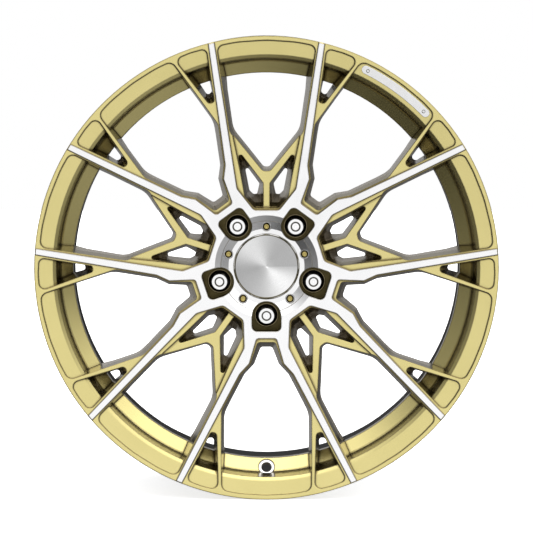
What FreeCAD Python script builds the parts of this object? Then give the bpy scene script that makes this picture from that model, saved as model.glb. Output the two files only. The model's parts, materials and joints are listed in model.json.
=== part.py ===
"""Forged five-bolt racing wheel: centre, barrel, trim ring, cap, wheel bolts and badge plate.

The wheel's axis is Y, with the outboard face towards -Y and +Z up. The origin is the centre of
the hub mounting face. A depth is measured back from the plane of the outboard rim edge, so a
point's Y is its depth less face_depth.
"""
import FreeCAD, Part
import math
import os

import Sketcher
from FreeCAD import Placement, Rotation, Vector

# Driving dimensions, in millimetres and degrees. Every one becomes a named cell of the sheet.
DIMENSIONS = {
    "rim_radius": 261.0,        # outside of both flanges
    "rim_width": 241.0,         # over both flanges
    "face_depth": 75.5,         # rim plane to hub mounting face
    "bead_radius": 243.7,       # bead seats of a 19 inch rim
    "well_radius": 225.5,       # outside of the drop well
    "well_wall": 6.0,           # wall of the drop well
    "joint_depth": 60.0,        # where the centre and the barrel are welded
    "hub_plane": 31.0,          # depth of the silver face round the bolts
    "hub_edge": 62.0,           # radius where the silver face starts to slope to the rim
    "tip_depth": 0.3,           # depth of the silver spoke tips at the rim
    "hub_step": 4.5,            # silver face to painted face at the hub
    "rim_step": 1.0,            # silver face to painted face at the rim
    "land_depth": 39.5,         # depth of the trim ring's flat land
    "land_radius": 43.0,        # outside of the flat land
    "ring_edge": 34.5,          # depth of the trim ring's outer edge
    "ring_seat": 44.0,          # depth of the seat under the trim ring
    "ring_radius": 52.0,        # outside of the trim ring
    "dish_radius": 58.5,        # outside of the dish round the trim ring
    "bore_radius": 36.55,       # centre bore of the forging
    "pad_radius": 75.0,         # hub pad behind the bolts
    "hub_bore": 33.3,           # bore of the centring ring
    "pitch_radius": 56.0,       # bolt circle
    "bolt_radius": 7.0,         # M14 thread, outside
    "neck_radius": 6.5,         # smooth neck between the head and the thread
    "bolt_head": 18.0,          # across flats
    "bolt_face": 36.0,          # depth of the bolt head's front
    "bolt_tip": 102.0,          # depth of the bolt's end
    "pocket_depth": 51.0,       # floor of the bolt pockets
    "insert_radius": 13.7,      # outside of the seat inserts
    "insert_depth": 61.0,       # floor of the seat inserts
    "bolt_hole": 7.75,          # hole for the shank
    "screw_circle": 45.3,       # trim ring screws
    "screw_radius": 2.0,        # M4
    "cap_radius": 37.0,         # cap over its bevelled edge
    "cap_face_radius": 35.3,    # brushed disc of the cap
    "valve_hole": 5.75,         # radius of the hole for an 11.3 mm valve
    "badge_radius": 249.4,      # middle of the badge plate
    "badge_width": 9.5,
    "badge_angle": 19.0,        # angle between the centres of the plate's round ends
    "badge_screw": 2.0,         # head radius
}

SECTORS = 5
SECTOR_ANGLE = 360.0 / SECTORS
BOLT_AXIS = 270.0               # direction of one bolt, seen from the front, from +X towards +Z
RIB_AXIS = 90.0                 # direction of one Y rib
BADGE_AXIS = 54.0
FRONT_CUT = -3.0                # a depth clear of the front of the wheel
CLIP_REACH = 9.0                # from the trim ring's seat back to the beads of the cap's clips

doc = FreeCAD.newDocument("racing_wheel")
sheet = doc.addObject("Spreadsheet::Sheet", "Sheet")


class Size:
    """A length together with the sheet expression that drives it."""

    def __init__(self, value, text=None):
        self.value = value
        self.text = text if text is not None else repr(float(value))

    def combined(self, sign, other, value):
        return Size(value, f"({self.text} {sign} {as_size(other).text})")

    def __add__(self, other):
        return self.combined("+", other, self.value + as_size(other).value)

    def __sub__(self, other):
        return self.combined("-", other, self.value - as_size(other).value)

    def __mul__(self, other):
        return self.combined("*", other, self.value * as_size(other).value)

    def __neg__(self):
        return Size(-self.value, f"(0 - {self.text})")


def as_size(number):
    return number if isinstance(number, Size) else Size(number)


def fill_sheet():
    """One row for each driving dimension: its name, and its value in a cell with that alias."""
    for row, (name, value) in enumerate(DIMENSIONS.items(), start=1):
        sheet.set(f"A{row}", name)
        sheet.set(f"B{row}", str(value))
        sheet.setAlias(f"B{row}", name)
    doc.recompute()


def dim(name):
    return Size(DIMENSIONS[name], f"Sheet.{name}")


fill_sheet()
RIM = dim("rim_radius")
FACE = dim("face_depth")
BEAD = dim("bead_radius")
WELL = dim("well_radius")
WELL_INSIDE = WELL - dim("well_wall")
JOINT = dim("joint_depth")
PITCH = dim("pitch_radius")
BORE = dim("bore_radius")


# ---- bodies, sketches and features -------------------------------------------------------------

def new_body(name):
    body = doc.addObject("PartDesign::Body", name)
    body.Label = name
    return body


def origin_feature(body, role):
    return next(item for item in body.Origin.OriginFeatures if item.Role == role)


def new_sketch(body, name, role, offset=None):
    """A sketch on one of the body's own origin planes, moved along its normal by offset."""
    sketch = body.newObject("Sketcher::SketchObject", name)
    sketch.AttachmentSupport = (origin_feature(body, role), [""])
    sketch.MapMode = "FlatFace"
    if offset:
        sketch.AttachmentOffset = Placement(Vector(0, 0, offset.value), Rotation())
        sketch.setExpression("AttachmentOffset.Base.z", offset.text)
    return sketch


def front_sketch(body, name, depth):
    """A sketch square to the wheel's axis at a depth. Its X is the wheel's X and its Y is +Z."""
    return new_sketch(body, name, "XZ_Plane", FACE - depth)


def pin_coordinate(sketch, kind, geometry, point, size):
    """Hold one coordinate of a sketch point at a size, which the sheet drives."""
    if abs(size.value) < 1e-9:
        axis = -2 if kind == "DistanceX" else -1
        sketch.addConstraint(Sketcher.Constraint("PointOnObject", geometry, point, axis))
        return
    index = sketch.addConstraint(
        Sketcher.Constraint(kind, -1, 1, geometry, point, size.value))
    if "Sheet" in size.text:
        sketch.setExpression(f"Constraints[{index}]", size.text)


def add_polygon(sketch, corners):
    """A closed polygon of straight edges with every corner pinned."""
    sizes = [(as_size(across), as_size(along)) for across, along in corners]
    points = [Vector(across.value, along.value, 0) for across, along in sizes]
    first = sketch.GeometryCount
    count = len(points)
    for index in range(count):
        sketch.addGeometry(Part.LineSegment(points[index], points[(index + 1) % count]), False)
    for index in range(count):
        following = first + (index + 1) % count
        sketch.addConstraint(Sketcher.Constraint("Coincident", first + index, 2, following, 1))
    for index, (across, along) in enumerate(sizes):
        pin_coordinate(sketch, "DistanceX", first + index, 1, across)
        pin_coordinate(sketch, "DistanceY", first + index, 1, along)


def add_circle(sketch, across, along, radius):
    across, along, radius = as_size(across), as_size(along), as_size(radius)
    centre = Vector(across.value, along.value, 0)
    circle = Part.Circle(centre, Vector(0, 0, 1), radius.value)
    geometry = sketch.addGeometry(circle, False)
    index = sketch.addConstraint(Sketcher.Constraint("Radius", geometry, radius.value))
    if "Sheet" in radius.text:
        sketch.setExpression(f"Constraints[{index}]", radius.text)
    pin_coordinate(sketch, "DistanceX", geometry, 3, across)
    pin_coordinate(sketch, "DistanceY", geometry, 3, along)


def profile_sketch(body, name, profile):
    """A half section on the XY plane: each corner is a radius and a depth."""
    sketch = new_sketch(body, name, "XY_Plane")
    add_polygon(sketch, [(radius, as_size(depth) - FACE) for radius, depth in profile])
    return sketch


def finish_feature(feature, sketch):
    sketch.Visibility = False
    doc.recompute()
    return feature


def revolve(body, name, profile, kind="PartDesign::Revolution", angle=360.0):
    """Turn a half section about the wheel's axis, to add material or, as a Groove, to cut."""
    sketch = profile_sketch(body, name + "_profile", profile)
    feature = body.newObject(kind, name)
    feature.Profile = sketch
    feature.ReferenceAxis = (origin_feature(body, "Y_Axis"), [""])
    feature.Angle = angle
    return finish_feature(feature, sketch)


def groove(body, name, profile):
    before = body.Shape.Volume
    feature = revolve(body, name, profile, "PartDesign::Groove")
    check_cut(feature, before)
    return feature


def check_cut(feature, before):
    if feature.Shape.Volume >= before:
        raise RuntimeError(f"{feature.Name} cut nothing")


def pocket(body, name, sketch, length, backwards=False):
    """Cut from a sketch: towards the back of the wheel, or towards the front if backwards."""
    before = body.Shape.Volume
    feature = body.newObject("PartDesign::Pocket", name)
    feature.Profile = sketch
    feature.Type = 0
    feature.Length = as_size(length).value
    if "Sheet" in as_size(length).text:
        feature.setExpression("Length", as_size(length).text)
    feature.Reversed = backwards
    finish_feature(feature, sketch)
    check_cut(feature, before)
    return feature


def pad(body, name, sketch, length):
    feature = body.newObject("PartDesign::Pad", name)
    feature.Profile = sketch
    feature.Length = as_size(length).value
    if "Sheet" in as_size(length).text:
        feature.setExpression("Length", as_size(length).text)
    return finish_feature(feature, sketch)


def around_axis(body, name, originals, count=SECTORS):
    """Repeat features about the wheel's axis, once for each sector."""
    pattern = body.newObject("PartDesign::PolarPattern", name)
    pattern.Originals = originals
    pattern.Axis = (origin_feature(body, "Y_Axis"), [""])
    pattern.Angle = 360.0
    pattern.Occurrences = count
    body.Tip = pattern
    doc.recompute()
    return pattern


# ---- outlines ----------------------------------------------------------------------------------
# A sector outline is drawn with v along the sector's axis, away from the hub, and u across it.

def polar(radius, angle):
    """The (u, v) of a point at an angle from the sector's axis."""
    return (radius * math.sin(math.radians(angle)), radius * math.cos(math.radians(angle)))


def turned(u, v, axis):
    """Where a sector's (u, v) lies on the wheel, for a sector whose axis points at this angle."""
    angle = math.radians(axis)
    across = v * math.cos(angle) + u * math.sin(angle)
    up = v * math.sin(angle) - u * math.cos(angle)
    return (across, up)


def mirrored(corners):
    """A whole outline from its right half, listed from the hub end to the rim end."""
    left = [(-corner[0],) + tuple(corner[1:]) for corner in reversed(corners)]
    return list(corners) + [corner for corner in left if abs(corner[0]) > 1e-6]


def rounded(corners):
    """Lines and arcs of a closed outline whose corners are (x, y, radius)."""
    count = len(corners)
    ends = []
    for index, (x, y, radius) in enumerate(corners):
        here = Vector(x, y, 0)
        if radius == 0:
            ends.append((here, None, here))
            continue
        before = Vector(*corners[index - 1][:2], 0) - here
        after = Vector(*corners[(index + 1) % count][:2], 0) - here
        half = before.getAngle(after) / 2
        reach = radius / math.tan(half)
        bisector = (before.normalize() + after.normalize()).normalize()
        middle = here + bisector * (radius / math.sin(half) - radius)
        ends.append((here + before * reach, middle, here + after * reach))
    edges = []
    for index, (start, middle, end) in enumerate(ends):
        if middle:
            edges.append(Part.ArcOfCircle(start, middle, end))
        following = ends[(index + 1) % count][0]
        onward = Vector(*corners[(index + 1) % count][:2], 0) - Vector(*corners[index][:2], 0)
        if onward.dot(following - end) < -0.02:
            raise RuntimeError(f"corner {index} and the next are rounded too much: {corners}")
        if end.distanceToPoint(following) > 0.02:
            edges.append(Part.LineSegment(end, following))
    return edges


def outline_sketch(body, name, depth, corners, axis):
    """A rounded sector outline at a depth, turned to its sector's axis."""
    sketch = front_sketch(body, name, as_size(depth))
    placed = [turned(u, v, axis) + (radius,) for u, v, radius in corners]
    sketch.addGeometry(rounded(placed), False)
    return sketch


# ---- forged centre -----------------------------------------------------------------------------

HUB_EDGE = dim("hub_edge")
SILVER_SLOPE = ((DIMENSIONS["hub_plane"] - DIMENSIONS["tip_depth"])
                / (DIMENSIONS["rim_radius"] - DIMENSIONS["hub_edge"]))
WEB_BACK = 62.0                 # depth behind the windows near the hub

# Each window corner is (u, v, radius) at the painted face, and again behind the web. The V
# windows lie outboard of the bolts, and the Y windows between them.
V_WINDOW_FRONT = [
    (9.9, 85.6, 3.5), (18.3, 110.4, 3.0), (29.4, 122.4, 9.0), (50.8, 162.6, 14.0),
    (50.8, 250.6, 8.5), polar(256.4, 7.0) + (120.0,), (0.0, 256.4, 120.0),
]
V_WINDOW_BACK = [
    (6.2, 93.8, 3.5), (13.6, 112.6, 3.0), (24.6, 124.0, 9.0), (47.9, 168.0, 28.0),
    (48.4, 248.0, 6.5), polar(253.5, 6.6) + (120.0,), (0.0, 253.5, 120.0),
]
Y_WINDOW_FRONT = [
    (4.2, 108.0, 5.0), (41.0, 152.6, 14.0), (55.9, 249.6, 8.0), polar(256.4, 7.6) + (120.0,),
    (0.0, 256.4, 120.0),
]
Y_WINDOW_BACK = [
    (3.0, 113.4, 5.0), (37.2, 156.6, 28.0), (50.6, 247.0, 6.5), polar(253.5, 7.2) + (120.0,),
    (0.0, 253.5, 120.0),
]
# The small openings beside the V windows, between each gold rib and its silver spoke.
SIDE_WINDOW_FRONT = [
    (56.2, 186.8, 4.3), (62.6, 185.4, 3.3), (91.0, 239.2, 6.0), polar(256.6, 16.5) + (40.0,),
    (54.3, 250.4, 7.0),
]
SIDE_WINDOW_BACK = [
    (59.9, 196.2, 3.2), (66.2, 195.8, 3.0), (86.6, 240.6, 5.0), polar(254.6, 16.5) + (40.0,),
    (58.9, 247.6, 6.0),
]
# The teardrop openings beside the stem of each Y rib.
DROP_FRONT = [
    (3.0, 94.6, 1.5), (3.0, 66.4, 1.2), (13.4, 66.4, 5.0), (24.5, 79.6, 3.0), (35.0, 137.4, 2.5),
]
DROP_BACK = [
    (8.2, 93.4, 2.5), (10.2, 80.2, 1.4), (14.6, 79.8, 3.0), (19.4, 85.4, 3.0), (26.0, 118.6, 2.2),
]
# The ledge between the silver spokes: the Y rib lies lower than the ledge by this outline.
RIB_RELIEF = [
    (12.4, 67.4, 5.0), (23.5, 80.0, 3.0), (38.4, 151.0, 1.0), (0.0, 122.0, 12.0),
]
RIB_FRONT = 38.0                # depth of the Y rib's face where it meets the hub
RIB_FOOT = 66.0                 # distance from the axis to that foot
# The silver faces: right half of a V notch, a spoke tip, then a Y notch from its other side.
STAR_V_NOTCH = [(11.3, 81.0, 3.5), (19.6, 109.2, 2.0), (30.5, 120.8, 10.0)]
STAR_V_TIP = (98.3, 247.3, 0.3)
STAR_Y_NOTCH = [(14.2, 64.3, 6.0), (33.4, 88.8, 7.0)]
STAR_Y_TIP = (59.4, 259.4, 0.3)
STAR_BACK = 39.0                # depth of the hidden back of the silver faces
# The floor of the rim recesses slopes between these two points, each a radius and a depth.
FLOOR_INNER = (240.0, 8.0)
FLOOR_OUTER = (257.0, 4.0)
# The slope of the rim behind the windows runs from its wall in to the throat of the barrel.
SLOPE_TOP = (234.8, 41.0)
SLOPE_END = (219.5, 49.5)
VALVE_CIRCLE = 229.0            # from the axis to the valve hole, on the slope


def silver_depth(radius):
    """Depth of the turned silver face at a radius."""
    run = max(radius - DIMENSIONS["hub_edge"], 0.0)
    return DIMENSIONS["hub_plane"] - run * SILVER_SLOPE


def painted_depth(radius):
    """Depth of the painted face, which falls further below the silver face towards the hub."""
    run = max(radius - DIMENSIONS["hub_edge"], 0.0)
    span = DIMENSIONS["rim_radius"] - DIMENSIONS["hub_edge"]
    step = DIMENSIONS["hub_step"] + (DIMENSIONS["rim_step"] - DIMENSIONS["hub_step"]) * run / span
    return silver_depth(radius) + step


def back_depth(radius):
    """Depth of the back of the web, which thins towards the rim."""
    return max(46.0, WEB_BACK - 0.2 * max(radius - 92.0, 0.0))


def corner_at(front, back, depth):
    """A window corner carried along its drafted wall to a depth."""
    radius = math.hypot(front[0], front[1])
    top = painted_depth(radius)
    share = (depth - top) / (back_depth(radius) - top)
    return tuple(near + (far - near) * share for near, far in zip(front, back))


def window(body, name, front, back, axis, bottom, side=1):
    """Cut one drafted opening through the web, from in front of the wheel to a depth."""
    sketches = []
    for end, depth in (("front", FRONT_CUT), ("back", bottom)):
        corners = [corner_at(near, far, depth) for near, far in zip(front, back)]
        corners = [(side * u, v, radius) for u, v, radius in corners]
        sketches.append(outline_sketch(body, f"{name}_{end}", depth, corners, axis))
    before = body.Shape.Volume
    feature = body.newObject("PartDesign::SubtractiveLoft", name)
    feature.Profile = (sketches[0], [""])
    feature.Sections = [(sketches[1], [""])]
    feature.Ruled = True
    sketches[1].Visibility = False
    finish_feature(feature, sketches[0])
    check_cut(feature, before)
    return feature


def rib_relief(body):
    """Lower the face of one Y rib, on a plane that follows the slope of the silver face."""
    tilt = math.degrees(math.atan(SILVER_SLOPE))
    sketch = new_sketch(body, "rib_relief_outline", "XZ_Plane", FACE - RIB_FRONT)
    sketch.AttachmentOffset = Placement(
        Vector(0, RIB_FOOT, DIMENSIONS["face_depth"] - RIB_FRONT), Rotation(Vector(1, 0, 0), tilt))
    corners = mirrored(RIB_RELIEF)
    stretch = 1.0 / math.cos(math.radians(tilt))
    sketch.addGeometry(rounded([(u, (v - RIB_FOOT) * stretch, r) for u, v, r in corners]), False)
    return pocket(body, "rib_relief", sketch, 45.0, backwards=True)


def star_corners():
    """The whole silver outline: for each sector a V notch, a spoke, a Y notch and a spoke."""
    corners = []
    for sector in range(SECTORS):
        axis = BOLT_AXIS - sector * SECTOR_ANGLE
        v_right = STAR_V_NOTCH + [STAR_V_TIP]
        v_left = [(-u, v, r) for u, v, r in reversed(v_right)]
        for u, v, radius in v_left + v_right:
            corners.append(turned(u, v, axis) + (radius,))
        y_right = STAR_Y_NOTCH + [STAR_Y_TIP]
        y_left = [(-u, v, r) for u, v, r in reversed(y_right)]
        for u, v, radius in y_left + y_right:
            corners.append(turned(u, v, axis - SECTOR_ANGLE / 2) + (radius,))
    return corners


def web_blank(body):
    """The forging before it is milled, with the sloping painted face in front."""
    foot = dim("hub_plane") + dim("hub_step")
    edge = RIM + 1.5
    revolve(body, "web_blank", [
        (BORE, foot), (HUB_EDGE, foot), (edge, dim("tip_depth") + dim("rim_step")),
        (edge, 16), (BEAD + 3, 16), (BEAD - 3, 42), (222, 54), (205, 46), (160, 46.5),
        (120, 54), (92, 61), (dim("pad_radius") + 3, 66), (dim("pad_radius"), FACE),
        (BORE, FACE),
    ])


def mill_windows(body):
    v_front, v_back = mirrored(V_WINDOW_FRONT), mirrored(V_WINDOW_BACK)
    y_front, y_back = mirrored(Y_WINDOW_FRONT), mirrored(Y_WINDOW_BACK)
    cuts = [
        window(body, "v_window", v_front, v_back, BOLT_AXIS, 66.0),
        window(body, "y_window", y_front, y_back, RIB_AXIS, 66.0),
    ]
    for side, word in ((1, "right"), (-1, "left")):
        cuts.append(window(body, "side_window_" + word, SIDE_WINDOW_FRONT, SIDE_WINDOW_BACK,
                           BOLT_AXIS, 60.0, side))
        cuts.append(window(body, "drop_window_" + word, DROP_FRONT, DROP_BACK,
                           RIB_AXIS, 68.0, side))
    cuts.append(rib_relief(body))
    around_axis(body, "windows", cuts)


def rim_ring(body):
    """The rim section behind the windows, with the sloping floor of the rim recesses in front."""
    revolve(body, "rim_ring", [
        FLOOR_INNER, FLOOR_OUTER, (RIM - 1, FLOOR_OUTER[1]), (RIM + 1.5, 6.0), (RIM + 1.5, 16.0),
        (BEAD + 3, 16.0), (BEAD + 3, 44.0), (WELL + 2, JOINT), (WELL_INSIDE, JOINT),
        (WELL_INSIDE, SLOPE_END[1]), (SLOPE_TOP[0] - 2.45, SLOPE_TOP[1] + 1.36),
        (SLOPE_TOP[0] - 0.6, SLOPE_TOP[1] - 0.4), (SLOPE_TOP[0] + 0.14, SLOPE_TOP[1] - 2.8),
        (236.4, 11.0),
    ])


def turn_front(body):
    """The lathe cut that leaves the silver faces, the dish and the seat of the trim ring."""
    land = dim("ring_seat")
    dish = dim("dish_radius")
    groove(body, "front_turning", [
        (0, FRONT_CUT - 3), (0, land), (dim("ring_radius") + 0.1, land),
        (dim("ring_radius") + 0.1, dim("ring_edge")), (dish, dim("hub_plane")),
        (HUB_EDGE, dim("hub_plane")), (RIM - 1.2, dim("tip_depth") + 0.19),
        (RIM, dim("tip_depth") + 1.4), (RIM, 9.5), (RIM + 6, 9.5), (RIM + 6, FRONT_CUT - 3),
    ])


def turn_tyre_side(body):
    """The lathe cut behind the flange: flange back, bead seat, hump and slope to the well."""
    groove(body, "tyre_side_turning", [
        (RIM, 9.0), (RIM - 1.6, 11.6), (BEAD + 5.5, 12.8), (BEAD + 0.8, 14.6), (BEAD, 17.0),
        (BEAD - 1.5, 34.0), (BEAD - 0.4, 38.0), (BEAD - 3.0, 41.5), (WELL, 55.0),
        (WELL, JOINT + 8), (RIM + 12, JOINT + 8), (RIM + 12, 9.0),
    ])


def bolt_pocket(body):
    """One deep pocket with a square outer end, and the stepped hole in its floor."""
    half = 16.6
    corners = mirrored([(half, 39.9, half), (half, 73.2, 6.0)])
    sketch = outline_sketch(body, "bolt_pocket_outline", FRONT_CUT, corners, BOLT_AXIS)
    return pocket(body, "bolt_pocket", sketch, dim("pocket_depth") - FRONT_CUT)


def round_cut(body, name, across, along, radius, start, end):
    """A round hole along the wheel's axis between two depths."""
    sketch = front_sketch(body, name + "_circle", as_size(start))
    add_circle(sketch, across, along, radius)
    return pocket(body, name, sketch, as_size(end) - start)


def back_pocket(body):
    """The weight-saving pocket between two bolts, cut into the mounting pad."""
    corners = mirrored([(9.0, 50.5, 4.0), (15.5, 64.0, 5.0), (0.0, 70.5, 24.0)])
    sketch = outline_sketch(body, "back_pocket_outline", FACE + 1.0, corners, RIB_AXIS)
    return pocket(body, "back_pocket", sketch, 20.0, backwards=True)


def valve_hole(body):
    """The hole through the slope of the rim at the bottom, square to the slope, spot-faced."""
    run, rise = SLOPE_TOP[0] - SLOPE_END[0], SLOPE_END[1] - SLOPE_TOP[1]
    tilt = math.degrees(math.atan2(rise, run))
    depth = SLOPE_TOP[1] + (SLOPE_TOP[0] - VALVE_CIRCLE) * rise / run
    middle = Vector(0, -VALVE_CIRCLE, DIMENSIONS["face_depth"] - depth)
    features = []
    for name, radius, start, length in (
            ("valve_spot_face", as_size(9.0), 12.0, 13.2),
            ("valve_hole", dim("valve_hole"), 12.0, 40.0)):
        sketch = new_sketch(body, name + "_circle", "XZ_Plane")
        turn = Rotation(Vector(1, 0, 0), -tilt)
        sketch.AttachmentOffset = Placement(middle + turn.multVec(Vector(0, 0, start)), turn)
        add_circle(sketch, 0, 0, radius)
        features.append(pocket(body, name, sketch, length))
    return features


def on_floor(radius, angle, height):
    """A placement standing on the recess floor, with its Z along the floor's normal."""
    run, rise = FLOOR_OUTER[0] - FLOOR_INNER[0], FLOOR_INNER[1] - FLOOR_OUTER[1]
    slope = math.atan2(rise, run)
    depth = FLOOR_INNER[1] - (radius - FLOOR_INNER[0]) * math.tan(slope)
    around = math.radians(angle)
    outward = Vector(math.cos(around), 0, math.sin(around))
    normal = outward * -math.sin(slope) + Vector(0, -math.cos(slope), 0)
    foot = outward * radius + Vector(0, depth - DIMENSIONS["face_depth"], 0)
    return Placement(foot + normal * height, Rotation(Vector(0, 0, 1), normal))


def stud(body, name, kind, radius, length, where):
    """A small cylinder added to, or cut from, a body at a placement."""
    feature = body.newObject(kind, name)
    feature.Radius = radius.value
    feature.Height = length
    if "Sheet" in radius.text:
        feature.setExpression("Radius", radius.text)
    feature.Placement = where
    doc.recompute()
    return feature


def badge_screw_angles():
    spread = DIMENSIONS["badge_angle"] / 2 - 0.6
    return [(1, -spread), (2, spread)]


def badge_screw_holes(body):
    """The two holes for the badge's screws, square to the recess floor."""
    for number, angle in badge_screw_angles():
        bottom = on_floor(DIMENSIONS["badge_radius"], BADGE_AXIS + angle, -4.0)
        stud(body, f"badge_screw_hole_{number}", "PartDesign::SubtractiveCylinder",
             as_size(1.2), 5.0, bottom)


def forged_centre():
    body = new_body("forged_centre")
    web_blank(body)
    mill_windows(body)
    rim_ring(body)
    star = front_sketch(body, "silver_outline", as_size(STAR_BACK))
    star.addGeometry(rounded(star_corners()), False)
    pad(body, "silver_faces", star, STAR_BACK - FRONT_CUT)
    turn_front(body)
    turn_tyre_side(body)
    cuts = [
        bolt_pocket(body),
        round_cut(body, "insert_bore", 0, -PITCH, dim("insert_radius"),
                  dim("pocket_depth") - 2, dim("insert_depth")),
        round_cut(body, "bolt_hole", 0, -PITCH, dim("bolt_hole"),
                  dim("insert_depth") - 2, FACE + 2),
        round_cut(body, "ring_screw_hole", 0, dim("screw_circle"), dim("screw_radius"),
                  dim("ring_seat") - 2, 53.0),
        back_pocket(body),
    ]
    around_axis(body, "hub_details", cuts)
    clip = dim("ring_seat") + CLIP_REACH
    groove(body, "cap_groove", [
        (BORE - 1, clip - 2), (BORE + 1, clip - 1), (BORE + 1, clip + 1.5), (BORE - 1, clip + 2.5),
    ])
    valve_hole(body)
    badge_screw_holes(body)


# ---- the other pieces --------------------------------------------------------------------------

def barrel():
    """The rear of the rim: drop well, inner bead seat and inner flange."""
    body = new_body("barrel")
    back = dim("rim_width")
    revolve(body, "barrel_section", [
        (WELL_INSIDE, JOINT), (WELL_INSIDE, 94), (232, 114), (234, 196), (236, 206),
        (236, back - 5), (239.5, back - 1), (RIM - 2.2, back), (RIM, back - 2.2),
        (RIM, back - 9), (RIM - 1.6, back - 11.4), (BEAD + 5.5, back - 12.6),
        (BEAD + 0.8, back - 14.4), (BEAD, back - 17), (BEAD - 1.5, back - 35),
        (BEAD - 0.4, back - 39), (BEAD - 3.6, back - 44), (240, 192), (237, 118),
        (WELL, 97), (WELL, JOINT),
    ])


def hub_ring():
    """The trim ring round the cap, scalloped to clear the bolt pockets."""
    body = new_body("hub_ring")
    inside = dim("cap_radius") + 0.3
    land = dim("land_depth")
    revolve(body, "hub_ring_section", [
        (inside, land), (dim("land_radius"), land), (dim("ring_radius"), dim("ring_edge")),
        (dim("ring_radius"), dim("ring_seat")), (inside, dim("ring_seat")),
    ])
    cuts = [
        round_cut(body, "scallop", 0, -PITCH - 0.5, 16.8, 25.0, 45.0),
        round_cut(body, "screw_recess", 0, dim("screw_circle"), 5.2, 25.0,
                  dim("land_depth") + 2.4),
        round_cut(body, "screw_hole", 0, dim("screw_circle"), dim("screw_radius") + 0.2,
                  25.0, 45.0),
    ]
    around_axis(body, "hub_ring_details", cuts)


def soft_section(body, name, corners):
    """Turn a half section about the wheel's axis: each corner is (radius, depth, rounding)."""
    sketch = new_sketch(body, name + "_profile", "XY_Plane")
    face = DIMENSIONS["face_depth"]
    sketch.addGeometry(rounded([(r, depth - face, soft) for r, depth, soft in corners]), False)
    feature = body.newObject("PartDesign::Revolution", name)
    feature.Profile = sketch
    feature.ReferenceAxis = (origin_feature(body, "Y_Axis"), [""])
    feature.Angle = 360.0
    return finish_feature(feature, sketch)


def stand_at(body, radius, axis):
    """Move a body from the wheel's axis to a parallel axis at this radius and direction."""
    angle = math.radians(axis)
    body.Placement = Placement(
        Vector(radius.value * math.cos(angle), 0, radius.value * math.sin(angle)), Rotation())
    body.setExpression("Placement.Base.x", f"{radius.text} * cos({axis} deg)")
    body.setExpression("Placement.Base.z", f"{radius.text} * sin({axis} deg)")


def hexagon(across_flats):
    corner = across_flats * (1 / math.sqrt(3))
    angles = [math.radians(60 * side) for side in range(6)]
    return [(corner * math.cos(angle), corner * math.sin(angle)) for angle in angles]


def lug_bolt(number, axis):
    """A wheel bolt: hexagon head on a flange, with a dished centre in a bright ring."""
    name = f"lug_bolt_{number}"
    body = new_body(name)
    face, tip = dim("bolt_face"), dim("bolt_tip")
    neck, thread = dim("neck_radius"), dim("bolt_radius")
    seat = dim("pocket_depth") - 2.0
    revolve(body, name + "_shank", [
        (0, seat - 4.0), (8.8, seat - 4.0), (11.8, seat - 1.4), (11.8, seat), (neck, seat),
        (neck, FACE), (thread, FACE), (thread, tip - 1.6), (thread - 1.4, tip), (0, tip),
    ])
    sketch = front_sketch(body, name + "_hexagon", seat - 2.0)
    add_polygon(sketch, hexagon(dim("bolt_head")))
    pad(body, name + "_head", sketch, seat - 2.0 - face)
    groove(body, name + "_dish", [
        (0, face - 1), (5.4, face - 1), (5.4, face), (4.4, face + 1.6), (0, face + 2.0),
    ])
    groove(body, name + "_chamfer", [
        (8.6, face - 1), (8.6, face), (10.6, face + 1.3), (12.5, face + 2.5), (12.5, face - 1),
    ])
    stand_at(body, PITCH, axis)


def lug_collar(number, axis):
    """The floating cone seat under a bolt's head."""
    name = f"lug_collar_{number}"
    body = new_body(name)
    floor = dim("pocket_depth")
    bore = dim("neck_radius") + 0.08
    revolve(body, name + "_section", [
        (bore, floor - 1.95), (11.6, floor - 1.95), (12.2, floor - 1.2), (12.2, floor + 0.1),
        (9.02, floor + 5.6), (bore, floor + 5.6),
    ])
    stand_at(body, PITCH, axis)


def lug_insert(number, axis):
    """The hard insert pressed into the forging, with the 60 degree seat."""
    name = f"lug_insert_{number}"
    body = new_body(name)
    floor, foot = dim("pocket_depth"), dim("insert_depth")
    outside, hole = dim("insert_radius"), dim("bolt_hole")
    revolve(body, name + "_section", [
        (outside - 1.3, floor), (outside, floor), (outside, foot), (hole, foot),
        (hole, floor + 8.05),
    ])
    stand_at(body, PITCH, axis)


def hub_ring_screw(number, axis):
    """A domed gold screw that holds the trim ring."""
    name = f"hub_ring_screw_{number}"
    body = new_body(name)
    seat = DIMENSIONS["land_depth"] + 2.4
    shank = DIMENSIONS["screw_radius"]
    soft_section(body, name + "_section", [
        (0, seat - 3.3, 0), (3.4, seat - 3.3, 2.6), (4.5, seat - 1.0, 0.8), (4.5, seat, 0),
        (shank, seat, 0), (shank, 51.0, 0), (0, 52.0, 0),
    ])
    socket = front_sketch(body, name + "_socket", as_size(seat - 4.0))
    add_polygon(socket, hexagon(as_size(2.5)))
    pocket(body, name + "_drive", socket, 1.8)
    stand_at(body, dim("screw_circle"), axis)


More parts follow.
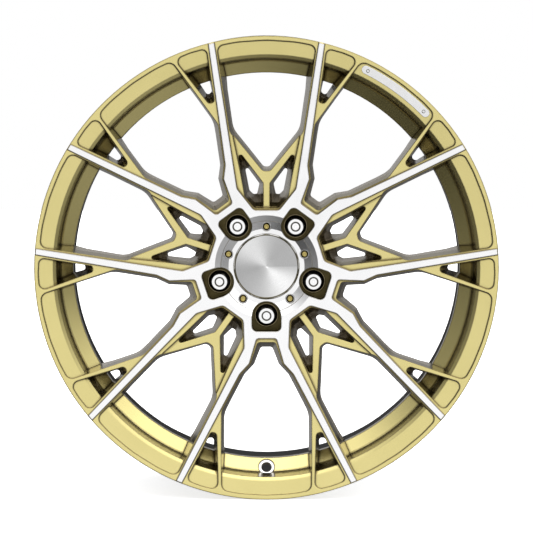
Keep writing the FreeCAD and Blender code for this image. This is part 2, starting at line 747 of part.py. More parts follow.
def cap_shell():
    """The centre cap's body: bevelled edge, floor and a skirt split into clips."""
    body = new_body("cap_shell")
    outside, land, seat = dim("cap_radius"), dim("land_depth"), dim("ring_seat")
    recess = dim("cap_face_radius") + 0.1
    skirt = BORE - 0.35
    clip = seat + CLIP_REACH
    revolve(body, "cap_shell_section", [
        (0, land), (recess, land), (recess, land - 1.5), (recess + 0.6, land - 1.7),
        (outside, land - 0.6), (outside, seat), (skirt, seat), (skirt, clip - 1.6),
        (BORE - 0.07, clip), (BORE - 0.07, clip + 1), (skirt - 0.8, clip + 4),
        (skirt - 2.2, clip + 4), (skirt - 2.2, land + 2.2), (0, land + 2.2),
    ])
    sketch = front_sketch(body, "clip_slot_outline", clip + 5)
    add_polygon(sketch, [(30.0, -4.5), (39.0, -4.5), (39.0, 4.5), (30.0, 4.5)])
    slot = pocket(body, "clip_slot", sketch, 12.0, backwards=True)
    around_axis(body, "clip_slots", [slot], 6)


def cap_face():
    """The slightly domed brushed disc let into the cap."""
    body = new_body("cap_face")
    edge, land = DIMENSIONS["cap_face_radius"], DIMENSIONS["land_depth"]
    soft_section(body, "cap_face_section", [
        (0, land - 2.1, 0), (edge - 6, land - 1.9, 60.0), (edge, land - 1.35, 0.4),
        (edge, land, 0), (0, land, 0),
    ])


def cap_spring():
    """The wire ring that keeps the cap's clips spread."""
    body = new_body("cap_spring")
    sketch = new_sketch(body, "cap_spring_wire", "XY_Plane")
    depth = dim("ring_seat") + CLIP_REACH + 0.5
    add_circle(sketch, BORE - 3.45, depth - FACE, 0.85)
    feature = body.newObject("PartDesign::Revolution", "cap_spring_turn")
    feature.Profile = sketch
    feature.ReferenceAxis = (origin_feature(body, "Y_Axis"), [""])
    feature.Angle = 360.0
    finish_feature(feature, sketch)


def centring_ring():
    """The ring in the back of the centre bore that fits the car's hub."""
    body = new_body("centring_ring")
    bore = dim("hub_bore")
    revolve(body, "centring_ring_section", [
        (bore + 0.8, 64.7), (BORE - 0.8, 64.7), (BORE, 65.5), (BORE, FACE), (bore, FACE),
        (bore, 65.5),
    ])


BADGE_THICKNESS = 1.2
BADGE_GAP = 0.06                # the flat ends of the plate clear the curved floor by this


def badge_plate():
    """The curved plate with round ends in the rim recess, with its two screw holes."""
    body = new_body("badge_plate")
    middle, half = DIMENSIONS["badge_radius"], DIMENSIONS["badge_width"] / 2
    sketch = new_sketch(body, "badge_section", "XY_Plane")
    corners = []
    for along, height in ((-half, 0.0), (half, 0.0), (half, 1.0), (-half, 1.0)):
        where = on_floor(middle, 0.0, BADGE_GAP + height * BADGE_THICKNESS)
        shift = where.Rotation.multVec(Vector(0, 0, 1)).cross(Vector(0, 0, 1)) * along
        point = where.Base + shift
        corners.append((point.x, point.y, 0))
    sketch.addGeometry(rounded(corners), False)
    feature = body.newObject("PartDesign::Revolution", "badge_strip")
    feature.Profile = sketch
    feature.ReferenceAxis = (origin_feature(body, "Y_Axis"), [""])
    feature.Angle = DIMENSIONS["badge_angle"]
    feature.setExpression("Angle", "Sheet.badge_angle")
    feature.Midplane = True
    finish_feature(feature, sketch)
    for number, side in ((1, -1), (2, 1)):
        end = on_floor(middle, side * DIMENSIONS["badge_angle"] / 2, BADGE_GAP)
        stud(body, f"badge_end_{number}", "PartDesign::AdditiveCylinder",
             dim("badge_width") * 0.5, BADGE_THICKNESS, end)
    for number, angle in badge_screw_angles():
        hole = on_floor(middle, angle, BADGE_GAP - 1)
        stud(body, f"badge_hole_{number}", "PartDesign::SubtractiveCylinder",
             as_size(1.3), BADGE_THICKNESS + 2, hole)
    body.Placement = Placement(Vector(), Rotation(Vector(0, -1, 0), BADGE_AXIS))


def badge_screw(number, angle):
    """A small pan-head screw through the badge plate."""
    name = f"badge_screw_{number}"
    body = new_body(name)
    middle = DIMENSIONS["badge_radius"]
    stud(body, name + "_shank", "PartDesign::AdditiveCylinder", as_size(1.15), 4.6,
         on_floor(middle, angle, BADGE_GAP - 3.2))
    head = stud(body, name + "_head", "PartDesign::AdditiveCylinder", dim("badge_screw"), 0.9,
                on_floor(middle, angle, BADGE_GAP + BADGE_THICKNESS))
    rim = max(range(1, len(head.Shape.Edges) + 1),
              key=lambda index: edge_rank(head.Shape.Edges[index - 1]))
    soft = body.newObject("PartDesign::Fillet", name + "_crown")
    soft.Base = (head, [f"Edge{rim}"])
    soft.Radius = 0.5
    doc.recompute()
    body.Placement = Placement(Vector(), Rotation(Vector(0, -1, 0), BADGE_AXIS))


def edge_rank(edge):
    """Circles rank by radius, then by how far forward they lie, so the head's rim comes first."""
    radius = getattr(edge.Curve, "Radius", 0.0)
    return (round(radius, 3), -edge.CenterOfMass.y)


def build_all():
    forged_centre()
    barrel()
    hub_ring()
    cap_shell()
    cap_face()
    cap_spring()
    centring_ring()
    badge_plate()
    for number, angle in badge_screw_angles():
        badge_screw(number, angle)
    for number in range(1, SECTORS + 1):
        bolt_axis = (BADGE_AXIS + (number - 1) * SECTOR_ANGLE) % 360
        screw_axis = (RIB_AXIS + (number - 1) * SECTOR_ANGLE) % 360
        lug_bolt(number, bolt_axis)
        lug_collar(number, bolt_axis)
        lug_insert(number, bolt_axis)
        hub_ring_screw(number, screw_axis)


def check_and_write():
    """Stop if any object failed, then write each body to its own file."""
    os.makedirs("parts", exist_ok=True)
    for item in doc.Objects:
        if "Invalid" in item.State or "Error" in item.State:
            raise RuntimeError(f"{item.Name} failed: {item.State}")
    for item in doc.Objects:
        if item.TypeId != "PartDesign::Body":
            continue
        shape = item.Shape
        if shape.isNull() or not shape.isValid():
            raise RuntimeError(f"{item.Label} has a bad shape")
        shape.exportStep(f"parts/{item.Label}.step")
        print(f"{item.Label}: {len(shape.Solids)} solid, {shape.Volume / 1000:.1f} cm3")


build_all()
doc.recompute()
check_and_write()
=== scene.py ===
"""Looks, light and camera for the forged racing wheel. Lengths are in metres."""
import json
import math

import bpy
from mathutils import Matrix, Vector


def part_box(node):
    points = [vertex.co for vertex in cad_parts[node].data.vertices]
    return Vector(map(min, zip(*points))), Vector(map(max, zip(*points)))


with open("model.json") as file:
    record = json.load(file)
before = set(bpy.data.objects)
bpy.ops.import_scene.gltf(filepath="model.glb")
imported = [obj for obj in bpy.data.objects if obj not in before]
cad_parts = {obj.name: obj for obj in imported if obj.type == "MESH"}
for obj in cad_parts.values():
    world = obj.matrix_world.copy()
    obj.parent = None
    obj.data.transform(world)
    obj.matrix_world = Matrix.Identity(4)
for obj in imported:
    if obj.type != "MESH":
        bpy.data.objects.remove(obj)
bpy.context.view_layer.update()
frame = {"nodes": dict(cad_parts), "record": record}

# ---- sizes of the wheel, as the CAD has them ---------------------------------------------------
# A depth is measured along the axis, backwards from the plane of the front flange.
FACE = 0.0755                        # depth of the hub mounting face, where the frame's origin is
FLANGE_RADIUS = 0.261
FLANGE_DEPTH = 0.0003                # of the machined face where it reaches the flange
HUB_EDGE = 0.062                     # radius where the machined face starts to slope
HUB_PLANE = 0.031                    # depth of the machined face round the bolts
SLOPE = (HUB_PLANE - FLANGE_DEPTH) / (FLANGE_RADIUS - HUB_EDGE)
DISH_RADIUS = 0.0585                 # outer edge of the dish inside the bolts
DISH_FOOT = 0.0521                   # inner edge of the dish
DISH_DEPTH = 0.0345                  # of its inner edge
DISH_SLOPE = (DISH_DEPTH - HUB_PLANE) / (DISH_RADIUS - DISH_FOOT)
RIB_DEPTH = 0.0355                   # of the painted ribs' front, round the hub
PITCH = 0.056                        # radius of the bolt circle
SECTOR = math.radians(72)            # from one bolt to the next
LOWEST_BOLT = math.radians(-90)

valve_mount = next(m for m in frame["record"]["mounts"] if m["name"] == "valve_hole")
VALVE = Vector(valve_mount["pos_m"])                   # on the hole's axis, halfway along its wall
VALVE_AXIS = Vector(valve_mount["axis"])               # towards the tyre
VALVE_HALF = valve_mount["dims"]["length_mm"] / 2000   # half the length of the hole's wall


def machined_depth(radius):
    """Depth of the turned silver face at a radius, with the dish at its middle."""
    if radius < DISH_RADIUS:
        return HUB_PLANE + (DISH_RADIUS - radius) * DISH_SLOPE
    return HUB_PLANE - max(radius - HUB_EDGE, 0.0) * SLOPE


# ---- node helpers ------------------------------------------------------------------------------
def grey(level):
    return (level, level, level, 1)


class Tree:
    """Short calls for building the shader nodes of a material or a world."""

    def __init__(self, owner):
        owner.use_nodes = True
        self.tree = owner.node_tree
        self.tree.nodes.clear()

    def node(self, kind, **settings):
        node = self.tree.nodes.new(kind)
        for name, value in settings.items():
            setattr(node, name, value)
        return node

    def link(self, source, target):
        self.tree.links.new(source, target)

    def feed(self, socket, value):
        """Set a socket to a number or colour, or link it to another node's output."""
        if isinstance(value, bpy.types.NodeSocket):
            self.link(value, socket)
        else:
            socket.default_value = value

    def math(self, operation, first, second=0.0):
        node = self.node("ShaderNodeMath", operation=operation)
        self.feed(node.inputs[0], first)
        self.feed(node.inputs[1], second)
        return node.outputs[0]

    def length(self, first, second):
        """The length of the two sides' diagonal."""
        return self.math("SQRT", self.math("ADD", self.math("MULTIPLY", first, first),
                                           self.math("MULTIPLY", second, second)))

    def sawtooth(self, value, step):
        """How far a value is from the middle of its step: 0.5 at each step's ends, 0 between."""
        turns = self.math("FRACT", self.math("DIVIDE", value, step))
        return self.math("ABSOLUTE", self.math("SUBTRACT", turns, 0.5))

    def fit(self, value, low, high, start=0.0, end=1.0, smooth=True):
        """Remap low..high to start..end, clamped."""
        kind = "SMOOTHSTEP" if smooth else "LINEAR"
        node = self.node("ShaderNodeMapRange", interpolation_type=kind, clamp=True)
        for socket, number in zip(node.inputs, (value, low, high, start, end)):
            self.feed(socket, number)
        return node.outputs[0]

    def mix(self, share, first, second):
        """A colour from first to second; colours are given with or without their alpha."""
        node = self.node("ShaderNodeMix", data_type="RGBA")
        self.feed(node.inputs[0], share)
        for socket, colour in ((node.inputs[6], first), (node.inputs[7], second)):
            if isinstance(colour, tuple) and len(colour) == 3:
                colour += (1,)
            self.feed(socket, colour)
        return node.outputs[2]

    def ramp(self, value, stops, blend="LINEAR"):
        """Grey levels given as (position, level) stops."""
        node = self.node("ShaderNodeValToRGB")
        self.link(value, node.inputs[0])
        while len(node.color_ramp.elements) < len(stops):
            node.color_ramp.elements.new(0.5)
        for element, (position, level) in zip(node.color_ramp.elements, stops):
            element.position = position
            element.color = grey(level)
        node.color_ramp.interpolation = blend
        return node.outputs[0]

    def noise(self, vector, scale, detail=2.0):
        node = self.node("ShaderNodeTexNoise")
        self.feed(node.inputs["Vector"], vector)
        self.feed(node.inputs["Scale"], scale)
        self.feed(node.inputs["Detail"], detail)
        return node.outputs["Fac"]

    def bump(self, height, distance, strength=0.5, normal=None):
        node = self.node("ShaderNodeBump")
        self.feed(node.inputs["Strength"], strength)
        self.feed(node.inputs["Distance"], distance)
        self.feed(node.inputs["Height"], height)
        if normal is not None:
            self.link(normal, node.inputs["Normal"])
        return node.outputs["Normal"]

    def bevel(self, radius):
        node = self.node("ShaderNodeBevel", samples=8)
        self.feed(node.inputs["Radius"], radius)
        return node.outputs["Normal"]

    def surface_normal(self):
        return self.node("ShaderNodeNewGeometry").outputs["Normal"]

    def edge_line(self, radius):
        """1 close to the piece's sharp edges, falling to 0 away from them."""
        node = self.node("ShaderNodeVectorMath", operation="DOT_PRODUCT")
        self.link(self.bevel(radius), node.inputs[0])
        self.link(self.surface_normal(), node.inputs[1])
        return self.fit(self.math("SUBTRACT", 1.0, node.outputs["Value"]), 0.008, 0.09)

    def crevice(self, reach, low, high):
        """1 in a concave corner of the piece itself, falling to 0 away from it."""
        node = self.node("ShaderNodeAmbientOcclusion", samples=16, only_local=True)
        self.feed(node.inputs["Distance"], reach)
        return self.fit(node.outputs["AO"], low, high, 1.0, 0.0)

    def place(self):
        return self.node("ShaderNodeTexCoord").outputs["Object"]

    def split(self, vector):
        node = self.node("ShaderNodeSeparateXYZ")
        self.link(vector, node.inputs[0])
        return node.outputs

    def around_axis(self, place):
        """The distance of a place from the wheel's axis, its angle round it and its depth."""
        x, y, z = self.split(place)
        return self.length(x, z), self.math("ARCTAN2", z, x), self.math("ADD", y, FACE)

    def from_bolt(self, place):
        """The distance of a place from the axis of the nearest bolt."""
        radius, angle, depth = self.around_axis(place)
        turn = self.math("ADD", angle, SECTOR / 2 - LOWEST_BOLT)
        local = self.math("SUBTRACT", self.math("FLOORED_MODULO", turn, SECTOR), SECTOR / 2)
        across = self.math("MULTIPLY", radius, self.math("SINE", local))
        along = self.math("MULTIPLY", radius, self.math("COSINE", local))
        return self.length(across, self.math("SUBTRACT", along, PITCH))

    def surface(self, **inputs):
        """The principled shader and the output, with inputs named as on the shader."""
        shader = self.node("ShaderNodeBsdfPrincipled")
        for name, value in inputs.items():
            self.feed(shader.inputs[name.replace("_", " ")], value)
        output = self.node("ShaderNodeOutputMaterial")
        self.link(shader.outputs[0], output.inputs["Surface"])

    def turned_tangent(self):
        """The direction that a lathe's marks run in."""
        return self.node("ShaderNodeTangent", direction_type="RADIAL", axis="Y").outputs[0]


def material(name):
    made = bpy.data.materials.new(name)
    return made, Tree(made)


# ---- materials ---------------------------------------------------------------------------------
GOLD = (0.70, 0.605, 0.245)
GOLD_LIGHT = (0.735, 0.635, 0.262)
GOLD_FLAKE = (0.80, 0.71, 0.33)
# colours of painted shade on the gold paint: walls, corners and edges
WALL_PAINTED_SHADE = (0.19, 0.148, 0.058)
CORNER_PAINTED_SHADE = (0.12, 0.088, 0.032)
EDGE_PAINTED_SHADE = (0.15, 0.108, 0.038)
THIN_PAINT = (0.37, 0.32, 0.245)
SILVER = (0.93, 0.93, 0.935)
FINE_RELIEF = 0.00001                # height of the grain on small metal pieces


def gold_paint(name, metallic, gloss):
    """Satin metallic gold, full on faces that look forward and thin towards the back of the spokes,
    where the grey base shows. Walls, corners and edges are darkened towards bronze as painted
    shade."""
    made, t = material(name)
    place = t.place()
    radius, angle, depth = t.around_axis(place)
    facing = t.math("ABSOLUTE", t.split(t.surface_normal())[1])
    wall = t.fit(facing, 0.46, 0.85, 1.0, 0.0)

    # the thin band starts at a limit behind the sloping front, and stays inside the rim
    drop = t.math("MULTIPLY", SLOPE,
                  t.math("MAXIMUM", t.math("SUBTRACT", radius, HUB_EDGE), 0.0))
    behind = t.math("SUBTRACT", depth, t.math("SUBTRACT", RIB_DEPTH, drop))
    limit = t.fit(radius, 0.07, 0.20, 0.0125, 0.0165, smooth=False)
    thin = t.fit(t.math("SUBTRACT", behind, limit), -0.002, 0.003)
    inside_rim = t.fit(radius, 0.2155, 0.2175, 1.0, 0.0)
    thin = t.math("MULTIPLY", t.math("MULTIPLY", thin, inside_rim), wall)

    flake = t.noise(place, 4200.0, 1.0)
    cloud = t.noise(place, 22.0, 3.0)
    colour = t.mix(t.fit(cloud, 0.3, 0.7), GOLD, GOLD_LIGHT)
    colour = t.mix(t.fit(flake, 0.35, 0.65, 0.0, 0.35), colour, GOLD_FLAKE)
    # painted shade: walls that face sideways are darkened to deep bronze
    colour = t.mix(wall, colour, WALL_PAINTED_SHADE)
    colour = t.mix(thin, colour, THIN_PAINT)
    # painted shade: concave corners darkened towards dark bronze
    corner = t.math("MULTIPLY", t.crevice(0.005, 0.50, 0.90), 0.8)
    colour = t.mix(corner, colour, CORNER_PAINTED_SHADE)
    # painted shade: dark lines along the edges, where rounded edges would fall into shade
    line = t.math("MULTIPLY", t.edge_line(0.0026), t.fit(thin, 0.0, 1.0, 0.7, 0.0))
    colour = t.mix(line, colour, EDGE_PAINTED_SHADE)

    peel = t.noise(place, 900.0)
    rounded = t.bevel(t.fit(wall, 0.0, 1.0, 0.0020, 0.0008))
    t.surface(Base_Color=colour, Metallic=t.fit(thin, 0.0, 1.0, metallic, 0.3),
              Roughness=t.fit(flake, 0.3, 0.7, gloss, gloss + 0.07),
              Coat_Weight=0.25, Coat_Roughness=0.12, Normal=t.bump(peel, 0.000005, 0.5, rounded))
    return made


def machined_face(name, colour=SILVER, rings=1.0, rough=0.20, edge=0.0013):
    """Lathe-turned aluminium under clear lacquer, with fine concentric tool marks."""
    made, t = material(name)
    place = t.place()
    radius, angle, depth = t.around_axis(place)
    wobble = t.math("MULTIPLY", t.noise(place, 60.0), 2.2)
    groove = t.math("SINE", t.math("ADD", t.math("MULTIPLY", radius, 18000.0), wobble))
    patch = t.noise(place, 35.0, 3.0)
    dull = tuple(c * 0.94 for c in colour)
    shade = t.mix(t.math("MULTIPLY", t.fit(groove, -1.0, 1.0), 0.5 * rings), colour, dull)
    shade = t.mix(t.fit(patch, 0.35, 0.75, 0.0, 0.25), shade, dull)
    # painted shade: a dark brown line along the face's edges
    shade = t.mix(t.math("MULTIPLY", t.edge_line(edge * 1.8), 0.75), shade, (0.20, 0.17, 0.11))
    t.surface(Base_Color=shade, Metallic=1.0, Roughness=t.fit(patch, 0.3, 0.7, rough, rough + 0.06),
              Anisotropic=0.35, Coat_Weight=0.4, Coat_Roughness=0.06,
              Normal=t.bump(groove, 0.000002, 0.5, t.bevel(edge)), Tangent=t.turned_tangent())
    return made


def brushed_cap():
    """Spun aluminium disc: fine circular scratches, and a painted reflection: fixed brighter and
    darker sectors round the disc.
    """
    made, t = material("brushed_aluminium")
    radius, angle, depth = t.around_axis(t.place())
    stretched = t.node("ShaderNodeCombineXYZ")
    t.link(radius, stretched.inputs[0])
    t.link(t.math("MULTIPLY", angle, 0.0006), stretched.inputs[1])
    scratch = t.noise(stretched.outputs[0], 6500.0, 3.0)
    # painted reflection: brightness round the disc from the right, anticlockwise
    painted_reflection_fan = t.ramp(t.math("FRACT", t.math("DIVIDE", angle, 2 * math.pi)), (
        (0.0, 0.44), (0.08, 0.45), (0.17, 0.43), (0.25, 0.56), (0.33, 0.82), (0.42, 0.74),
        (0.50, 0.36), (0.58, 0.45), (0.67, 0.50), (0.76, 0.66), (0.84, 1.0), (0.92, 1.0),
        (1.0, 0.44)), blend="B_SPLINE")
    shade = t.mix(t.fit(radius, 0.0, 0.012, 0.55, 1.0), grey(0.68), painted_reflection_fan)
    shade = t.mix(t.fit(scratch, 0.3, 0.7, 0.0, 0.14), shade, grey(0.30))
    t.surface(Base_Color=shade, Metallic=1.0, Roughness=t.fit(scratch, 0.3, 0.7, 0.24, 0.32),
              Anisotropic=0.6, Normal=t.bump(scratch, FINE_RELIEF), Tangent=t.turned_tangent())
    return made


def barrel_paint(name, low, high, rough, specular):
    """Dark powder coat on the rear of the rim, slightly uneven in colour and gloss."""
    made, t = material(name)
    place = t.place()
    grain = t.noise(place, 1500.0)
    cloud = t.noise(place, 9.0, 4.0)
    t.surface(Base_Color=t.mix(t.fit(cloud, 0.35, 0.7), grey(low), grey(high)),
              Roughness=t.fit(cloud, 0.3, 0.7, rough, rough + 0.1), Specular_IOR_Level=specular,
              Normal=t.bump(grain, 0.00004, 0.6, t.bevel(0.0012)))
    return made


def plain_metal(name, colour, rough, edge=0.0003, vary=0.12):
    """Metal with a fine random grain in its colour, gloss and relief."""
    made, t = material(name)
    place = t.place()
    speck = t.noise(place, 2500.0, 3.0)
    patch = t.noise(place, 140.0, 3.0)
    dark = tuple(c * (1 - vary) for c in colour)
    t.surface(Base_Color=t.mix(t.fit(patch, 0.3, 0.7), colour, dark), Metallic=1.0,
              Roughness=t.fit(speck, 0.3, 0.7, rough * 0.85, rough * 1.15),
              Normal=t.bump(speck, FINE_RELIEF, 0.5, t.bevel(edge)))
    return made


def ringed_steel():
    """Dark bronze coating on the turned seats, with faint turning rings round each bolt."""
    made, t = material("dark_steel")
    place = t.place()
    ridge = t.sawtooth(t.from_bolt(place), 0.0016)
    speck = t.noise(place, 1800.0, 3.0)
    shade = t.mix(t.fit(ridge, 0.1, 0.45), (0.085, 0.068, 0.036), (0.27, 0.22, 0.12))
    t.surface(Base_Color=shade, Metallic=0.9, Roughness=t.fit(speck, 0.3, 0.7, 0.28, 0.38),
              Normal=t.bump(ridge, 0.0002, 0.6, t.bevel(0.0004)))
    return made


def bolt_face():
    """The bright ring and centre of a bolt's head, with painted shade as a dark ring at the edge of
    the dish between.
    """
    made, t = material("bolt_bright")
    place = t.place()
    away = t.from_bolt(place)
    # painted shade: a dark ring at the edge of the dish
    dish_edge_shade = t.math("MULTIPLY", t.fit(away, 0.0036, 0.0044), t.fit(away, 0.0054, 0.0060, 1.0, 0.0))
    speck = t.noise(place, 2500.0, 3.0)
    steel = t.mix(t.fit(speck, 0.3, 0.7), grey(0.93), grey(0.87))
    t.surface(Base_Color=t.mix(dish_edge_shade, steel, (0.16, 0.145, 0.115)), Metallic=1.0,
              Roughness=t.fit(speck, 0.3, 0.7, 0.14, 0.19),
              Normal=t.bump(speck, FINE_RELIEF, 0.5, t.bevel(0.0004)))
    return made


def cap_rim():
    """The cap's turned lip, with painted shade as a dark olive ring where the brushed disc drops
    into it.
    """
    made, t = material("cap_rim")
    place = t.place()
    radius, angle, depth = t.around_axis(place)
    speck = t.noise(place, 2500.0, 3.0)
    # painted shade: dark olive ring at the gap to the brushed disc
    line = t.fit(radius, 0.0361, 0.0365, 1.0, 0.0)
    lip = t.mix(t.fit(speck, 0.3, 0.7), (0.90, 0.90, 0.905), (0.84, 0.84, 0.845))
    t.surface(Base_Color=t.mix(line, lip, (0.17, 0.145, 0.075)), Metallic=1.0,
              Roughness=t.fit(speck, 0.3, 0.7, 0.2, 0.28),
              Normal=t.bump(speck, FINE_RELIEF, 0.5, t.bevel(0.0004)))
    return made


def bolt_shank():
    """Black zinc on a bolt's sides and shank, with the thread's turns along its length."""
    made, t = material("bolt_black")
    place = t.place()
    radius, angle, depth = t.around_axis(place)
    ridge = t.sawtooth(depth, 0.0015)
    thread = t.math("MULTIPLY", ridge, t.fit(depth, FACE, FACE + 0.001))
    speck = t.noise(place, 1800.0, 3.0)
    shade = t.mix(t.fit(speck, 0.35, 0.7), (0.028, 0.027, 0.024), (0.055, 0.050, 0.042))
    worn = t.math("MULTIPLY", t.fit(thread, 0.38, 0.5), 0.7)
    t.surface(Base_Color=t.mix(worn, shade, (0.30, 0.29, 0.28)), Metallic=0.9,
              Roughness=t.fit(speck, 0.3, 0.7, 0.32, 0.42), Normal=t.bump(thread, 0.0011, 1.0))
    return made


def dark_plastic():
    """Black moulded plastic with a fine matt grain."""
    made, t = material("dark_plastic")
    grain = t.noise(t.place(), 2200.0)
    shade = t.mix(t.fit(grain, 0.3, 0.7), (0.018, 0.018, 0.019), (0.030, 0.030, 0.031))
    t.surface(Base_Color=shade, Roughness=t.fit(grain, 0.3, 0.7, 0.5, 0.62),
              Normal=t.bump(grain, 0.00003, 0.5, t.bevel(0.0003)))
    return made


# ---- which polygon gets which material ---------------------------------------------------------
def beside_bolt(point):
    """The (across, along) place of a point from the axis out through the nearest bolt."""
    angle = math.atan2(point.z, point.x)
    nearest = LOWEST_BOLT + SECTOR * round((angle - LOWEST_BOLT) / SECTOR)
    radius = math.hypot(point.x, point.z)
    return radius * math.sin(angle - nearest), radius * math.cos(angle - nearest)


def on_machined_face(mesh, polygon):
    """True where every corner lies on the turned face, or on the dish inside it."""
    for index in polygon.vertices:
        x, y, z = mesh.vertices[index].co
        radius, depth = math.hypot(x, z), y + FACE
        if radius < DISH_FOOT - 0.0002 or abs(depth - machined_depth(radius)) > 0.00008:
            return False
    return polygon.normal.y < -0.3


def on_mounting_face(polygon):
    """True on the bare face that bolts up against the hub."""
    return polygon.normal.y > 0.99 and abs(polygon.center.y) < 0.0001


def on_valve_seat(polygon):
    """True on the bare ring that the spot face leaves round the valve hole."""
    offset = polygon.center - VALVE
    along = offset.dot(VALVE_AXIS)
    aside = (offset - along * VALVE_AXIS).length
    facing = polygon.normal.dot(VALVE_AXIS) < -0.95
    return facing and 0.0057 < aside < 0.0089 and abs(along + VALVE_HALF) < 0.0005


def in_bolt_pocket(polygon):
    """True for the walls, floor and stepped hole of a bolt pocket."""
    across, along = beside_bolt(polygon.center)
    depth = polygon.center.y + FACE
    return abs(across) < 0.01665 and 0.0392 < along < 0.0733 and 0.0305 < depth < FACE


def on_small_panel(polygon):
    """True on the slope of the rim in the small openings beside each silver spoke."""
    across, along = beside_bolt(polygon.center)
    aside = abs(math.degrees(math.atan2(across, along)))
    radius, depth = math.hypot(across, along), polygon.center.y + FACE
    return (12.0 < aside < 21.5 and 0.2190 < radius < 0.2350 and 0.040 < depth < 0.050
            and polygon.normal.y < -0.7)


def on_bolt_head(polygon):
    """True on the front of a bolt's head."""
    across, along = beside_bolt(polygon.center)
    return (math.hypot(across, along - PITCH) < 0.0086 and polygon.normal.y < -0.8
            and polygon.center.y + FACE < 0.0385)


# ---- dressing the CAD nodes --------------------------------------------------------------------
def dress(node, *materials):
    """Give a CAD node its materials; the first one covers it."""
    mesh = frame["nodes"][node].data
    mesh.materials.clear()
    for made in materials:
        mesh.materials.append(made)
    return mesh


def dress_screw(node, middle_paint, outer_paint, radius):
    """Give a screw one material on the middle of its head, and another on the rest."""
    mesh = dress(node, middle_paint, outer_paint)
    middle = sum((polygon.center for polygon in mesh.polygons), Vector()) / len(mesh.polygons)
    for polygon in mesh.polygons:
        aside = polygon.center - middle
        polygon.material_index = int(math.hypot(aside.x, aside.z) > radius)


gold = gold_paint("gold_paint", 0.93, 0.20)
panel_gold = gold_paint("panel_gold", 0.80, 0.24)
silver = machined_face("machined_face")
dish_silver = machined_face("dish_face", rough=0.34, edge=0.0006)
ring_silver = machined_face("trim_ring_face", (0.90, 0.90, 0.905), 0.8, 0.24, 0.0006)
dark_steel = ringed_steel()
# painted shade: a dark brown copy of the gold for the inside of the bolt pockets
pocket_painted_shade = plain_metal("pocket_painted_shade", (0.085, 0.068, 0.028), 0.34, edge=0.0008, vary=0.3)
bright_steel = bolt_face()
gold_screw = plain_metal("gold_screw", (0.52, 0.42, 0.15), 0.20, edge=0.0008)
# painted shade: the dark brown outer part of each gold screw's head
screw_rim_painted_shade = plain_metal("screw_rim_painted_shade", (0.085, 0.062, 0.020), 0.26, edge=0.0008)
badge_metal = plain_metal("badge_metal", (0.90, 0.90, 0.90), 0.24, edge=0.0007, vary=0.05)
# painted shade: the dark outer part of each badge screw's head
badge_screw_rim_painted_shade = plain_metal("badge_screw_rim_painted_shade", (0.17, 0.16, 0.14), 0.3)
spring_steel = plain_metal("spring_steel", (0.55, 0.55, 0.56), 0.25)
shank_black = bolt_shank()

centre = dress("forged_centre", gold, silver, pocket_painted_shade, dish_silver, panel_gold)
PAINTED, MACHINED, POCKET_SHADE, DISH, PANEL = range(5)
for polygon in centre.polygons:
    bare = on_machined_face(centre, polygon) or on_mounting_face(polygon)
    if bare or on_valve_seat(polygon):
        in_dish = math.hypot(polygon.center.x, polygon.center.z) < DISH_RADIUS
        polygon.material_index = DISH if in_dish else MACHINED
    elif in_bolt_pocket(polygon):
        polygon.material_index = POCKET_SHADE
    elif on_small_panel(polygon):
        polygon.material_index = PANEL
    else:
        polygon.material_index = PAINTED
barrel = dress("barrel", barrel_paint("barrel_paint", 0.034, 0.046, 0.36, 0.45),
               barrel_paint("barrel_inside", 0.020, 0.028, 0.55, 0.06))
for polygon in barrel.polygons:
    outward = polygon.normal.x * polygon.center.x + polygon.normal.z * polygon.center.z
    polygon.material_index = int(outward < 0)
dress("hub_ring", ring_silver)
dress("cap_shell", cap_rim())
dress("cap_face", brushed_cap())
dress("cap_spring", spring_steel)
dress("centring_ring", dark_plastic())
dress("badge_plate", badge_metal)
for number in (1, 2):
    dress_screw(f"badge_screw_{number}", badge_metal, badge_screw_rim_painted_shade, 0.0011)
for number in range(1, 6):
    dress_screw(f"hub_ring_screw_{number}", gold_screw, screw_rim_painted_shade, 0.0026)
    dress(f"lug_insert_{number}", dark_steel)
    dress(f"lug_collar_{number}", dark_steel)
    for polygon in dress(f"lug_bolt_{number}", shank_black, bright_steel).polygons:
        if on_bolt_head(polygon):
            polygon.material_index = 1

# ---- floor -------------------------------------------------------------------------------------
# A plain pale floor just under the rim. It isn't reflected in the wheel and doesn't light it.
FLOOR_HALF = 6.0
FLOOR_GAP = 0.0002
floor_height = -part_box("forged_centre")[1].x - FLOOR_GAP
plane = bpy.data.meshes.new("floor")
plane.from_pydata([(FLOOR_HALF * x, FLOOR_HALF * y, floor_height)
                   for x, y in ((-1, -1), (1, -1), (1, 1), (-1, 1))], [], [(0, 1, 2, 3)])
floor = bpy.data.objects.new("floor", plane)
bpy.context.scene.collection.objects.link(floor)
floor_paint, t = material("floor_paint")
pale = t.mix(t.fit(t.noise(t.place(), 3.0, 3.0), 0.3, 0.7), grey(0.93), grey(0.97))
t.surface(Base_Color=pale, Roughness=0.9, Emission_Color=(1, 1, 1, 1), Emission_Strength=0.75)
plane.materials.append(floor_paint)
floor.visible_glossy = False
floor.visible_diffuse = False

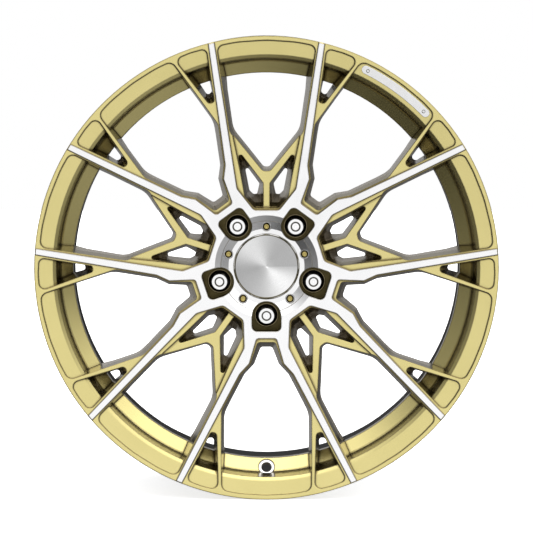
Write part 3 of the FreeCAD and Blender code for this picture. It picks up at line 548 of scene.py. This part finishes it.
# ---- studio light ------------------------------------------------------------------------------
# A white room seen by the camera. The wheel is lit by a broad overhead softbox, darker sides, an
# even front, and a back that is brighter high on the left. AROUND is the brightness round the
# wheel, as (turn, level) from the right, anticlockwise seen from the front.
AROUND = ((0.00, 0.28), (0.035, 0.62), (0.07, 0.95), (0.13, 1.7), (0.25, 2.4), (0.335, 1.25),
          (0.365, 0.85), (0.40, 0.36), (0.50, 0.20), (0.57, 0.09), (0.64, 0.06), (0.69, 0.08),
          (0.75, 0.26), (0.80, 0.38), (0.87, 0.42), (0.96, 0.30), (1.00, 0.28))
FRONT_LEVEL = 1.06
BACK_LOW, BACK_HIGH = 0.14, 0.62
world = bpy.data.worlds.new("studio")
bpy.context.scene.world = world
t = Tree(world)
across, along, up = t.split(t.node("ShaderNodeTexCoord").outputs["Generated"])
turn = t.math("DIVIDE", t.math("ARCTAN2", up, across), 2 * math.pi)
around = t.ramp(t.math("FRACT", t.math("ADD", turn, 1.0)), AROUND)
high_left = t.math("SUBTRACT", t.math("MULTIPLY", up, 0.8), t.math("MULTIPLY", across, 0.6))
back = t.mix(t.fit(high_left, -0.30, 0.35), grey(BACK_LOW), grey(BACK_HIGH))
level = t.mix(t.fit(along, -0.93, -0.70, 1.0, 0.0), around, grey(FRONT_LEVEL))
level = t.mix(t.fit(along, 0.25, 0.80), level, back)
level = t.mix(t.node("ShaderNodeLightPath").outputs["Is Camera Ray"], level, grey(1.0))
background = t.node("ShaderNodeBackground")
t.link(level, background.inputs["Color"])
t.link(background.outputs[0], t.node("ShaderNodeOutputWorld").inputs["Surface"])

# ---- camera ------------------------------------------------------------------------------------
# A long lens straight in front of the wheel and a little above it.
DISTANCE = 3.8
RISE = math.asin(0.0705)
VIEW_ANGLE = 2 * math.radians(4.52)
target = Vector((0.0, -0.0575, 0.0015))
camera_data = bpy.data.cameras.new("camera")
camera = bpy.data.objects.new("camera", camera_data)
bpy.context.scene.collection.objects.link(camera)
camera.location = target + DISTANCE * Vector((0.0, -math.cos(RISE), math.sin(RISE)))
camera.rotation_euler = (math.pi / 2 - RISE, 0.0, 0.0)
camera_data.sensor_width = 36.0
camera_data.angle = VIEW_ANGLE
camera_data.clip_end = 50.0
camera_data.dof.use_dof = False
bpy.context.scene.camera = camera
bpy.context.scene.view_settings.view_transform = "Standard"
bpy.context.scene.view_settings.look = "None"
